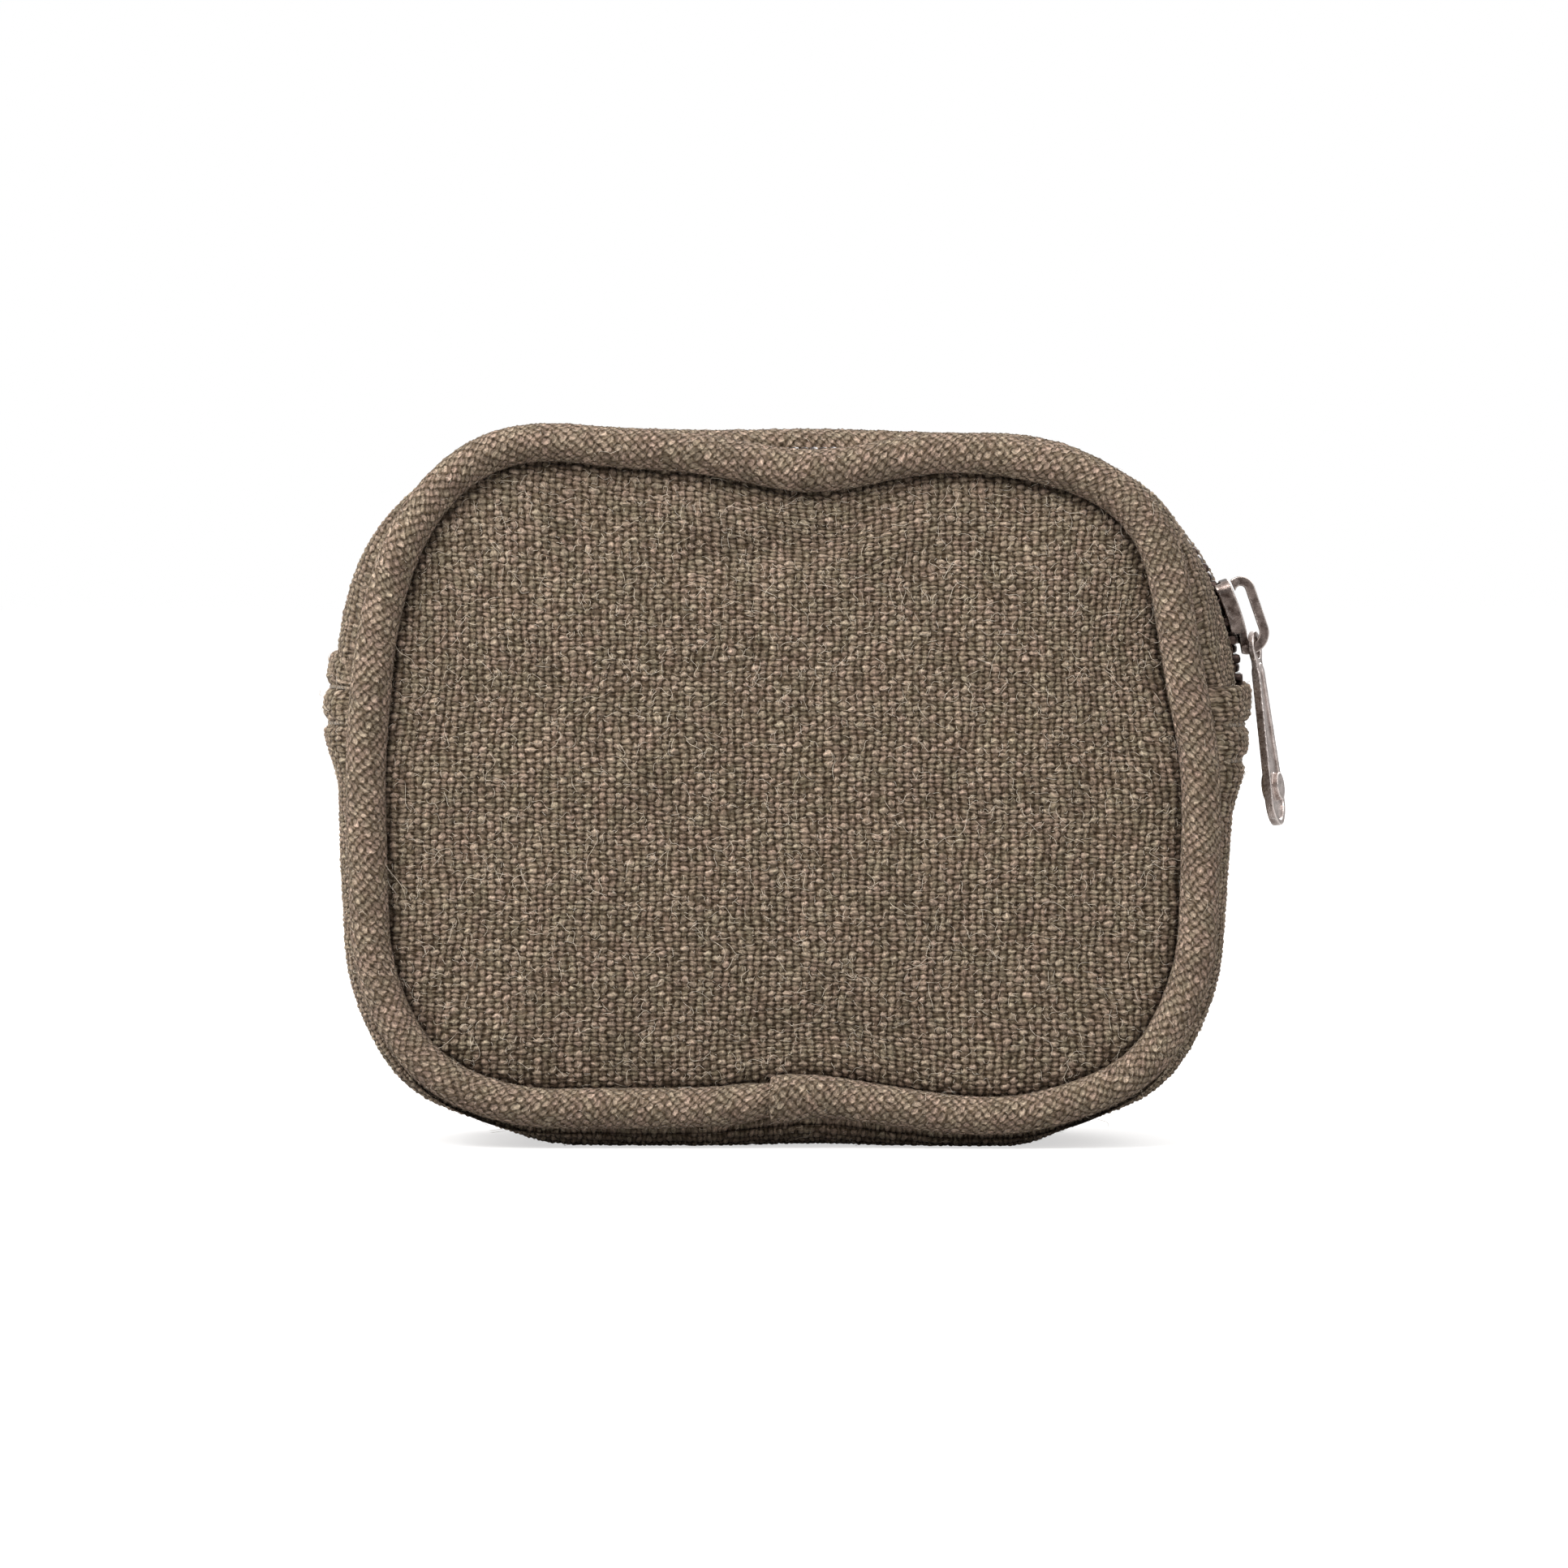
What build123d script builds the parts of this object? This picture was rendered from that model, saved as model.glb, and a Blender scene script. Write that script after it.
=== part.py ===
from build123d import *
from math import acos, cos, degrees, radians, sin
import os

# A small zip-topped canvas pouch, standing on its base.
# +X is right and +Z is up as seen from the front, and the front faces -Y.
# The origin is at the middle of the flat base. All sizes are in millimetres.

os.makedirs("parts", exist_ok=True)

# ---- Driving dimensions ----

HALF_DEPTH = 21.0  # middle of the pouch to the outermost line of either piping

# Corner circles as ((x, z), radius). Their hull is the outline seen from the front.
BASE_CORNER = 29.0
TOP_HEIGHT = 90.0
LEFT_RADIUS, RIGHT_RADIUS = 34.3, 31.2
LEFT_CENTRE = (-24.0, TOP_HEIGHT - LEFT_RADIUS)
RIGHT_CENTRE = (28.0, TOP_HEIGHT - RIGHT_RADIUS)
GUSSET = [
    ((-BASE_CORNER, 28.0), 28.0),
    ((BASE_CORNER, 28.0), 28.0),
    (LEFT_CENTRE, LEFT_RADIUS),
    (RIGHT_CENTRE, RIGHT_RADIUS),
]
SEAM = [
    ((-BASE_CORNER, 30.0), 24.75),
    ((BASE_CORNER, 30.0), 24.75),
    ((-26.5, 62.4), 28.35),
    ((26.5, 62.4), 28.35),
]

PIPING_RADIUS = 2.65
CORD_RADIUS = 1.65
PIPING_Y = HALF_DEPTH - PIPING_RADIUS
HALF_GUSSET = PIPING_Y - PIPING_RADIUS
PIPING_JOINT_X = -1.9
PIPING_JOINT_GAP = 0.3

CANVAS = 1.2
LINING = 0.4
PANEL_INNER_Y = 18.0
PANEL_EDGE_GAP = 0.05  # panel edge to the nearest line of the piping
LINING_GAP = 0.1

# Folded ends of the lower gusset (the tabs) as (side, bottom, top)
LEFT_TAB = (-1, 53.0, 63.0)
RIGHT_TAB = (1, 48.0, 59.0)
TAB_OVERLAP = 1.5  # how far each tab's outer layer runs down over the band
LEFT_STITCH_HEIGHTS = (55.0, 59.5)
RIGHT_STITCH_DROPS = (1.7, 6.3)  # below the end of the right corner arc

# The zip, in heights above TOP_HEIGHT and distances from the middle plane
CHAIN_HEIGHT = -0.3
TOOTH = (1.25, 2.4, 2.4)  # along the zip, across it, thick
TOOTH_PITCH = 2.5
TOOTH_Y = 0.9  # inner end of each tooth, leaving a lane for the slider's post
TAPE = 0.54
TAPE_EDGE_Y = 3.3
TAPE_UNDER = -1.5  # the tape's height where it runs under the strip
STRIP_EDGE_Y = 6.4
STOP_LENGTH = 1.6
SWEEP = 94.0  # degrees of each corner arc, from the top down under the tab
RIGHT_RUN = 8.2  # the right end runs straight on below its arc
TEETH_END_LEFT, TEETH_END_RIGHT = 73.0, 84.1  # the last tooth, in degrees from the top
TEETH_START = 2.4
BOTTOM_STOP_TURN, TOP_STOP_TURN = 75.6, 87.1
LIP_GAP = 0.3
LIP_START = LEFT_CENTRE[0] + LIP_GAP  # the lips are the straight middle of the top
LIP_LENGTH = RIGHT_CENTRE[0] - LIP_GAP - LIP_START
LIP_HINGE_Y = 15.0  # each lip turns about its outer edge

STITCH = (2.2, 0.5, 0.3)  # along the row, across it, proud of the cloth
STITCH_LIFT = STITCH[2] / 2 + 0.03  # a stitch's middle above the cloth
STITCH_PITCH = 3.2
STITCH_START = 3.0  # degrees of corner arc to the first stitch
STRIP_STITCH_Y = STRIP_EDGE_Y + 1.2

# The slider, in the frame of the right corner arc
SLIDER_ANGLE = 18.8  # degrees above horizontal at rest
RUNNING_GAP = 0.3
BLADE = 1.1
SLIDER_HALF_WIDTH = 4.4
SHOULDER_Y = SLIDER_HALF_WIDTH - 1.5
SLIDER_PLAN = [  # corner circles across and along the slider; the narrow end is towards the tab
    ((-SHOULDER_Y, -1.6), 1.5),
    ((SHOULDER_Y, -1.6), 1.5),
    ((-SHOULDER_Y, 2.8), 1.5),
    ((SHOULDER_Y, 2.8), 1.5),
    ((0, -3.7), 1.2),
]
FLANGE = 0.8
POST_HALF_WIDTH, POST_TURNS = 0.6, (-7.5, -4.2)  # turns are degrees of the corner arc
BAIL_RADIUS = 2.2  # of the wire's middle line round the mouth end
BAIL_CENTRE_ALONG = -3.3
BAIL_WIRE = (1.25, 1.3)
BAIL_END_RADIUS = 1.3
BAIL_BAR_END = 2.2

# The puller, hanging from the bail
PULLER_LEAN = 7.5  # degrees from vertical, away from the pouch
PULLER_TWIST = 16.0  # degrees about its own length
EYE_ON_BAIL = 8.0  # degrees round the bail's mouth-end arc
EYE_RADIUS, EYE_HOLE_RADIUS = 2.2, 1.4
PULLER_THICK, EYE_THICK = 1.1, 0.8
PULLER_TIP_CENTRE, PULLER_TIP_RADIUS = 20.2, 3.3
PULLER_NECK_CENTRE, PULLER_NECK_RADIUS = 3.6, 1.5
PULLER_BOSS_ALONG, PULLER_BOSS_RADIUS, PULLER_BOSS_PROUD = 18.4, 1.8, 0.6
PULLER_RIM = 0.75
PULLER_RECESS = 0.25

# The belt loop on the rear panel
LOOP_HALF_WIDTH = 19.0
LOOP_THICK = 1.6
LOOP_GAP = 6.0
LOOP_BOTTOM, LOOP_TOP = 12.0, 82.0
LOOP_SEWN = 8.0  # height of each sewn end
LOOP_RISE = 7.0  # height over which the strap leaves the panel


# ---- Helpers ----

def outline(circles, inset=0.0):
    """Fill the hull of the corner circles, drawn smaller by the inset."""
    for centre, radius in circles:
        with Locations(centre):
            Circle(radius - inset)
    make_hull()


def facing_plane(y):
    """The upright plane at depth y, with x to the right and y up; its normal is -Y."""
    return Plane.XZ.offset(-y)


def open_seam(y):
    """The seam line at depth y, cut at the bottom where the piping's two ends meet."""
    with BuildSketch(facing_plane(y)) as drawn:
        outline(SEAM)
    edges = drawn.sketch.edges()
    bottom = edges.sort_by(Axis.Z)[0]
    left, right = sorted((bottom @ 0, bottom @ 1), key=lambda end: end.X)
    first = Vector(PIPING_JOINT_X + PIPING_JOINT_GAP / 2, y, right.Z)
    last = Vector(PIPING_JOINT_X - PIPING_JOINT_GAP / 2, y, left.Z)
    rest = [edge for edge in edges if edge is not bottom]
    return Wire([Edge.make_line(first, right), *rest, Edge.make_line(left, last)])


def ring_sector(inner, outer, low, high):
    """Fill the part of a ring about the origin between two angles in degrees."""
    with BuildLine() as edge:
        outside = CenterArc((0, 0), outer, low, high - low)
        inside = CenterArc((0, 0), inner, low, high - low)
        Line(outside @ 0, inside @ 0)
        Line(outside @ 1, inside @ 1)
    make_face(edge.edges())


def arc_place(centre, radius, turn, y, height=0.0):
    """A place on a corner arc, turned the given degrees from the top towards +X."""
    reach = radius + height
    x = centre[0] + reach * sin(radians(turn))
    z = centre[1] + reach * cos(radians(turn))
    return Location((x, y, z), (0, turn, 0))


def right_run_place(drop, y, height):
    """A place on the straight run below the right corner arc, a drop in mm along it."""
    return arc_place(RIGHT_CENTRE, RIGHT_RADIUS, SWEEP, y, height) * Pos(drop, 0, 0)


def xz(pair):
    """A point in the middle plane."""
    return pair[0], 0, pair[1]


def stitch_run(half_length):
    """Middles of evenly spaced stitches on a row centred on zero."""
    count = int((2 * half_length - STITCH[0]) / STITCH_PITCH)
    return [(i - count / 2) * STITCH_PITCH for i in range(count + 1)]


def arc_turns(radius, first, last, pitch, shift=0.0):
    """Evenly spaced turns in degrees between two limits, a pitch in mm apart."""
    step = degrees(pitch / radius)
    count = int((last - first - shift * step) / step)
    return [first + (i + shift) * step for i in range(count + 1)]


SIDES = [("front", -1), ("rear", 1)]

# ---- Panels and their linings ----

for name, side in SIDES:
    outer_y = max(side * PANEL_INNER_Y, side * (PANEL_INNER_Y + CANVAS))
    with BuildPart() as panel:
        with BuildSketch(facing_plane(outer_y)):
            outline(SEAM, PIPING_RADIUS + PANEL_EDGE_GAP)
        extrude(amount=CANVAS)
    panel.part.label = f"{name}_panel"
    export_step(panel.part, f"parts/{name}_panel.step")

    lining_inner = PANEL_INNER_Y - LINING_GAP - LINING
    lining_y = max(side * lining_inner, side * (lining_inner + LINING))
    with BuildPart() as lining:
        with BuildSketch(facing_plane(lining_y)):
            outline(SEAM, PIPING_RADIUS + 1.0)
        extrude(amount=LINING)
    lining.part.label = f"{name}_lining"
    export_step(lining.part, f"parts/{name}_lining.step")

# ---- Piping: a canvas cover round a filler cord ----

for name, side in SIDES:
    seam_line = open_seam(side * PIPING_Y)
    section = Plane(origin=seam_line @ 0, z_dir=seam_line % 0)

    with BuildPart() as cover:
        with BuildSketch(section):
            Circle(PIPING_RADIUS)
            Circle(CORD_RADIUS, mode=Mode.SUBTRACT)
        sweep(path=seam_line)
    cover.part.label = f"{name}_piping_cover"
    export_step(cover.part, f"parts/{name}_piping_cover.step")

    with BuildPart() as cord:
        with BuildSketch(section):
            Circle(CORD_RADIUS - LINING_GAP)
        sweep(path=seam_line)
    cord.part.label = f"{name}_piping_cord"
    export_step(cord.part, f"parts/{name}_piping_cord.step")

# ---- Lower gusset: one band round the bottom, its folded ends over the zip's ends ----

with BuildPart() as lower_gusset:
    with BuildSketch(Plane.XZ):
        outline(GUSSET)
        with BuildSketch(Plane.XZ, mode=Mode.SUBTRACT):
            outline(GUSSET, CANVAS)
        for side, bottom, top in (LEFT_TAB, RIGHT_TAB):
            with Locations((side * 40, bottom + 30)):
                Rectangle(80, 60, mode=Mode.SUBTRACT)
    extrude(amount=HALF_GUSSET, both=True)
    for side, bottom, top in (LEFT_TAB, RIGHT_TAB):
        with BuildSketch(Plane.XZ):
            outline(GUSSET, -CANVAS)
            with BuildSketch(Plane.XZ, mode=Mode.SUBTRACT):
                outline(GUSSET)
            with Locations((side * 60, (bottom - TAB_OVERLAP + top) / 2)):
                Rectangle(40, top - bottom + TAB_OVERLAP, mode=Mode.INTERSECT)
        extrude(amount=HALF_GUSSET, both=True)
lower_gusset.part.label = "lower_gusset"
export_step(lower_gusset.part, "parts/lower_gusset.step")

with BuildPart() as gusset_lining:
    with BuildSketch(Plane.XZ):
        outline(GUSSET, CANVAS + LINING_GAP)
        with BuildSketch(Plane.XZ, mode=Mode.SUBTRACT):
            outline(GUSSET, CANVAS + LINING_GAP + LINING)
        for side, bottom, top in (LEFT_TAB, RIGHT_TAB):
            with Locations((side * 40, bottom + 29)):
                Rectangle(80, 60, mode=Mode.SUBTRACT)
    extrude(amount=HALF_GUSSET - LINING_GAP, both=True)
gusset_lining.part.label = "gusset_lining"
export_step(gusset_lining.part, "parts/gusset_lining.step")

# Topstitching across both tabs, on their outer face

with BuildPart() as tab_stitching:
    lift = CANVAS + STITCH_LIFT
    left_turns = [-degrees(acos((z - LEFT_CENTRE[1]) / (LEFT_RADIUS + lift))) for z in LEFT_STITCH_HEIGHTS]
    for y in stitch_run(HALF_GUSSET):
        with Locations([arc_place(LEFT_CENTRE, LEFT_RADIUS, turn, y, lift) for turn in left_turns]):
            Box(STITCH[1], STITCH[0], STITCH[2])
        with Locations([right_run_place(drop, y, lift) for drop in RIGHT_STITCH_DROPS]):
            Box(STITCH[1], STITCH[0], STITCH[2])
tab_stitching.part.label = "tab_stitching"
export_step(tab_stitching.part, "parts/tab_stitching.step")

# ---- Zip: canvas strips, tapes, teeth and stops ----


def strip_section(side, outer_y):
    """The folded canvas strip beside the zip, in section."""
    with Locations((side * (STRIP_EDGE_Y + outer_y) / 2, TOP_HEIGHT - CANVAS / 2)):
        Rectangle(outer_y - STRIP_EDGE_Y, CANVAS)


def tape_section(side):
    """The zip's tape, stepping down from the teeth to run under the strip."""
    line = [(TAPE_EDGE_Y, CHAIN_HEIGHT), (4.9, CHAIN_HEIGHT), (6.3, TAPE_UNDER), (12.5, TAPE_UNDER)]
    upper = [(side * y, TOP_HEIGHT + height + TAPE / 2) for y, height in line]
    lower = [(side * y, TOP_HEIGHT + height - TAPE / 2) for y, height in reversed(line)]
    with BuildLine() as edge:
        Polyline(*upper, *lower, close=True)
    make_face(edge.edges())


def corner_ends(draw):
    """Sweep a section round both top corners, from the lips down under the tabs."""
    with BuildSketch(Plane.YZ.offset(RIGHT_CENTRE[0])) as right:
        draw()
    centre = Vector(*xz(RIGHT_CENTRE))
    turned = Pos(*centre) * Rot(0, SWEEP, 0) * Pos(*-centre)
    revolve(right.sketch, axis=Axis(centre, (0, 1, 0)), revolution_arc=SWEEP)
    extrude(turned * right.sketch, amount=RIGHT_RUN)
    with BuildSketch(Plane.YZ.offset(LEFT_CENTRE[0])) as left:
        draw()
    revolve(left.sketch, axis=Axis(xz(LEFT_CENTRE), (0, -1, 0)), revolution_arc=SWEEP)


for name, side in SIDES:
    with BuildPart() as strip_lip:
        with BuildSketch(Plane.YZ.offset(LIP_START)):
            strip_section(side, LIP_HINGE_Y)
        extrude(amount=LIP_LENGTH)
    strip_lip.part.label = f"{name}_strip_lip"
    export_step(strip_lip.part, f"parts/{name}_strip_lip.step")

    with BuildPart() as tape_lip:
        with BuildSketch(Plane.YZ.offset(LIP_START)):
            tape_section(side)
        extrude(amount=LIP_LENGTH)
    tape_lip.part.label = f"{name}_tape_lip"
    export_step(tape_lip.part, f"parts/{name}_tape_lip.step")

    with BuildPart() as strip_ends:
        corner_ends(lambda: strip_section(side, HALF_GUSSET))
    strip_ends.part.label = f"{name}_strip_ends"
    export_step(strip_ends.part, f"parts/{name}_strip_ends.step")

    with BuildPart() as tape_ends:
        corner_ends(lambda: tape_section(side))
    tape_ends.part.label = f"{name}_tape_ends"
    export_step(tape_ends.part, f"parts/{name}_tape_ends.step")

    tooth_y = side * (TOOTH_Y + TOOTH[1] / 2)
    shift = 0.0 if side < 0 else 0.5  # the rear row stands half a pitch along
    tooth_height = TOP_HEIGHT + CHAIN_HEIGHT

    with BuildPart() as teeth_lip:
        first_x = LIP_START + TOOTH[0]
        count = int((LIP_LENGTH - 2 * TOOTH[0]) / TOOTH_PITCH)
        with Locations([(first_x + (i + shift) * TOOTH_PITCH, tooth_y, tooth_height) for i in range(count)]):
            Box(*TOOTH)
    teeth_lip.part.label = f"{name}_teeth_lip"
    export_step(teeth_lip.part, f"parts/{name}_teeth_lip.step")

    right_turns = arc_turns(RIGHT_RADIUS, TEETH_START, TEETH_END_RIGHT, TOOTH_PITCH, shift)
    left_turns = arc_turns(LEFT_RADIUS, TEETH_START, TEETH_END_LEFT, TOOTH_PITCH, shift)
    with BuildPart() as teeth_ends:
        with Locations([arc_place(RIGHT_CENTRE, RIGHT_RADIUS, t, tooth_y, CHAIN_HEIGHT) for t in right_turns]):
            Box(*TOOTH)
        with Locations([arc_place(LEFT_CENTRE, LEFT_RADIUS, -t, tooth_y, CHAIN_HEIGHT) for t in left_turns]):
            Box(*TOOTH)
    teeth_ends.part.label = f"{name}_teeth_ends"
    export_step(teeth_ends.part, f"parts/{name}_teeth_ends.step")

    with BuildPart() as lip_stitching:
        middle = LIP_START + LIP_LENGTH / 2
        y, height = side * STRIP_STITCH_Y, TOP_HEIGHT + STITCH[2] / 2
        with Locations([(middle + x, y, height) for x in stitch_run(LIP_LENGTH / 2)]):
            Box(*STITCH)
    lip_stitching.part.label = f"{name}_lip_stitching"
    export_step(lip_stitching.part, f"parts/{name}_lip_stitching.step")

with BuildPart() as end_stitching:
    for _, side in SIDES:
        y, height = side * STRIP_STITCH_Y, STITCH[2] / 2
        right_turns = arc_turns(RIGHT_RADIUS, STITCH_START, TEETH_END_RIGHT, STITCH_PITCH)
        left_turns = arc_turns(LEFT_RADIUS, STITCH_START, TEETH_END_LEFT, STITCH_PITCH)
        with Locations([arc_place(RIGHT_CENTRE, RIGHT_RADIUS, t, y, height) for t in right_turns]):
            Box(*STITCH)
        with Locations([arc_place(LEFT_CENTRE, LEFT_RADIUS, -t, y, height) for t in left_turns]):
            Box(*STITCH)
end_stitching.part.label = "end_stitching"
export_step(end_stitching.part, "parts/end_stitching.step")

with BuildPart() as bottom_stop:
    with Locations(arc_place(LEFT_CENTRE, LEFT_RADIUS, -BOTTOM_STOP_TURN, 0, CHAIN_HEIGHT)):
        Box(STOP_LENGTH, 2 * (TOOTH_Y + TOOTH[1]), TOOTH[2])
bottom_stop.part.label = "bottom_stop"
export_step(bottom_stop.part, "parts/bottom_stop.step")

with BuildPart() as top_stops:
    stop_y = TOOTH_Y + TOOTH[1] / 2
    places = [arc_place(RIGHT_CENTRE, RIGHT_RADIUS, TOP_STOP_TURN, y, CHAIN_HEIGHT) for y in (-stop_y, stop_y)]
    with Locations(places):
        Box(STOP_LENGTH, TOOTH[1], TOOTH[2])
top_stops.part.label = "top_stops"
export_step(top_stops.part, "parts/top_stops.step")

# ---- Slider: two blades joined by a post, flanges beside the teeth, and the bail ----

lean = radians(SLIDER_ANGLE)
outward = Vector(cos(lean), 0, sin(lean))
arc_centre = Vector(*xz(RIGHT_CENTRE))
slider_side = Plane(origin=arc_centre, x_dir=outward, z_dir=(0, -1, 0))
slider_plan = Plane(origin=arc_centre, x_dir=(0, 1, 0), z_dir=outward)

chain_radius = RIGHT_RADIUS + CHAIN_HEIGHT
lane_inner = chain_radius - TOOTH[2] / 2 - RUNNING_GAP
lane_outer = chain_radius + TOOTH[2] / 2 + RUNNING_GAP
tape_inner = chain_radius - TAPE / 2 - RUNNING_GAP
tape_outer = chain_radius + TAPE / 2 + RUNNING_GAP
slider_face = lane_outer + BLADE
bail_centre = (slider_face, BAIL_CENTRE_ALONG)
bail_half = BAIL_WIRE[0] / 2
bail_end = (slider_face + BAIL_RADIUS - BAIL_END_RADIUS, BAIL_BAR_END)
bail_loop = [(bail_centre, BAIL_RADIUS), (bail_end, BAIL_END_RADIUS)]

with BuildPart() as slider_body:
    with BuildSketch(slider_plan.offset(lane_inner - BLADE)):
        outline(SLIDER_PLAN)
    extrude(amount=slider_face - lane_inner + 1.5 * BLADE)
    for half_width, inner, outer in (
        (SLIDER_HALF_WIDTH + 1, slider_face, slider_face + 2 * BLADE),
        (SLIDER_HALF_WIDTH + 1, tape_inner, tape_outer),
        (SLIDER_HALF_WIDTH - FLANGE, lane_inner, lane_outer),
    ):
        with BuildSketch(slider_side):
            ring_sector(inner, outer, -12, 12)
        extrude(amount=half_width, both=True, mode=Mode.SUBTRACT)
    with BuildSketch(slider_side):
        ring_sector(lane_inner - BLADE / 2, lane_outer + BLADE / 2, *POST_TURNS)
    extrude(amount=POST_HALF_WIDTH, both=True)
    with BuildSketch(slider_side):
        outline(bail_loop, -bail_half)
        with BuildSketch(mode=Mode.SUBTRACT):
            outline(bail_loop, bail_half)
        with BuildSketch(mode=Mode.SUBTRACT):
            ring_sector(lane_outer - BLADE, slider_face + RUNNING_GAP, POST_TURNS[0], 20)
            ring_sector(lane_inner, lane_outer, -20, 20)
    extrude(amount=BAIL_WIRE[1] / 2, both=True)
slider_body.part.label = "slider_body"
export_step(slider_body.part, "parts/slider_body.step")

# ---- Puller: a flat tapered tab with an eye, a recessed field and a round boss ----

eye_turn = radians(EYE_ON_BAIL)
eye_local = (bail_centre[0] + BAIL_RADIUS * sin(eye_turn), bail_centre[1] - BAIL_RADIUS * cos(eye_turn))
eye = slider_side.from_local_coords((*eye_local, 0))
hang, twist = radians(PULLER_LEAN), radians(PULLER_TWIST)
down = Vector(sin(hang), 0, -cos(hang))
face_out = Vector(cos(hang), 0, sin(hang)) * cos(twist) + Vector(0, -1, 0) * sin(twist)
puller_plane = Plane(origin=eye, x_dir=down, z_dir=face_out)


def puller_field(inset):
    """The tapered tab below the neck."""
    with Locations((PULLER_NECK_CENTRE, 0)):
        Circle(PULLER_NECK_RADIUS - inset)
    with Locations((PULLER_TIP_CENTRE, 0)):
        Circle(PULLER_TIP_RADIUS - inset)
    make_hull()


with BuildPart() as puller:
    with BuildSketch(puller_plane):
        puller_field(0)
    extrude(amount=PULLER_THICK / 2, both=True)
    with BuildSketch(puller_plane):
        Circle(EYE_RADIUS)
        with Locations((PULLER_NECK_CENTRE / 2, 0)):
            Rectangle(PULLER_NECK_CENTRE, 2 * PULLER_NECK_RADIUS)
        Circle(EYE_HOLE_RADIUS, mode=Mode.SUBTRACT)
    extrude(amount=EYE_THICK / 2, both=True)
    for face in (1, -1):
        face_plane = puller_plane.offset(face * PULLER_THICK / 2)
        with BuildSketch(face_plane):
            puller_field(PULLER_RIM)
        extrude(amount=-face * PULLER_RECESS, mode=Mode.SUBTRACT)
        with BuildSketch(face_plane.offset(-face * PULLER_RECESS)):
            with Locations((PULLER_BOSS_ALONG, 0)):
                Circle(PULLER_BOSS_RADIUS)
        extrude(amount=face * (PULLER_RECESS + PULLER_BOSS_PROUD))
puller.part.label = "puller"
export_step(puller.part, "parts/puller.step")

# ---- Belt loop on the rear panel ----

panel_face = PANEL_INNER_Y + CANVAS
sewn_y = panel_face + LOOP_THICK / 2
strap_y = sewn_y + LOOP_GAP

with BuildPart() as belt_loop:
    with BuildSketch(Plane.YZ.offset(-LOOP_HALF_WIDTH)):
        with BuildLine():
            FilletPolyline(
                (sewn_y, LOOP_BOTTOM),
                (sewn_y, LOOP_BOTTOM + LOOP_SEWN),
                (strap_y, LOOP_BOTTOM + LOOP_SEWN + LOOP_RISE),
                (strap_y, LOOP_TOP - LOOP_SEWN - LOOP_RISE),
                (sewn_y, LOOP_TOP - LOOP_SEWN),
                (sewn_y, LOOP_TOP),
                radius=3.0,
            )
        trace(line_width=LOOP_THICK)
    extrude(amount=2 * LOOP_HALF_WIDTH)
belt_loop.part.label = "belt_loop"
export_step(belt_loop.part, "parts/belt_loop.step")

with BuildPart() as loop_stitching:
    row_heights = [LOOP_BOTTOM + 2, LOOP_BOTTOM + 5.5, LOOP_TOP - 5.5, LOOP_TOP - 2]
    stitch_y = panel_face + LOOP_THICK + STITCH[2] / 2
    with Locations([(x, stitch_y, z) for z in row_heights for x in stitch_run(LOOP_HALF_WIDTH)]):
        Box(STITCH[0], STITCH[2], STITCH[1])
loop_stitching.part.label = "loop_stitching"
export_step(loop_stitching.part, "parts/loop_stitching.step")
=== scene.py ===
"""Looks of the canvas treat pouch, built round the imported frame. Working sizes are in millimetres."""
from math import cos, pi, radians, sin, sqrt, tau

import bpy
import numpy as np
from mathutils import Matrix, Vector


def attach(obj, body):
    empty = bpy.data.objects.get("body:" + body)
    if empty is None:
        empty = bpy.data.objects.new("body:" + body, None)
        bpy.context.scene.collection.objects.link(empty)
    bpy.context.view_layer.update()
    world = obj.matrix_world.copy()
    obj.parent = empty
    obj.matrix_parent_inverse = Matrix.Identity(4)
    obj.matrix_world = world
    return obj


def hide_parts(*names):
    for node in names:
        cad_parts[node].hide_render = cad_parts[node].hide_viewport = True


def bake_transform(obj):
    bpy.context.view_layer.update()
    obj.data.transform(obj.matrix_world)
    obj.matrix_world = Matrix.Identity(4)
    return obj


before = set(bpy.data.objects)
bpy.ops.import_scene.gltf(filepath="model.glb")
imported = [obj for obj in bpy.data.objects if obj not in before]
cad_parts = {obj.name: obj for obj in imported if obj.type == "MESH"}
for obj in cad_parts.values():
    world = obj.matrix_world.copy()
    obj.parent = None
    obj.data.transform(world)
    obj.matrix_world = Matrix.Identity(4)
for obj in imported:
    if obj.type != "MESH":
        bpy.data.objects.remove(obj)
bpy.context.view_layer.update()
MM = 0.001

# ---- The outlines the CAD is drawn from, as corner circles ((x, z), radius) ----

LEFT_ARC = ((-24.0, 55.7), 34.3)
RIGHT_ARC = ((28.0, 58.8), 31.2)
GUSSET = [((-29.0, 28.0), 28.0), ((29.0, 28.0), 28.0), LEFT_ARC, RIGHT_ARC]
SEAM = [((-29.0, 30.0), 24.75), ((29.0, 30.0), 24.75), ((-26.5, 62.4), 28.35), ((26.5, 62.4), 28.35)]
PIPING_Y, PIPING_RADIUS = 18.35, 2.65
JOINT_X = -1.9
MIDDLE_X = 2.0  # of the mouth, midway between the two top corners
LEFT_TAB_TOP, RIGHT_TAB_TOP = 63.0, 59.0
STRIP_EDGE = 6.4

# ---- The canvas: a plain weave, its warp yarns upright on the panels ----

WARP, WEFT = 1.04, 0.66  # spacing of the yarns
WARP_WAVE, WARP_ROUND = 0.18, 0.25
WEFT_WAVE, WEFT_ROUND, WEFT_LOW = 0.12, 0.20, 0.08
PER_YARN = 3  # mesh columns or rows to each yarn
LUMP_TURNS = (2.39, 4.77, 97.3)  # a scrambled number for each crossing, the same in mesh and material
LUMP_LEAST, LUMP_SPAN = 0.55, 0.9


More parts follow.
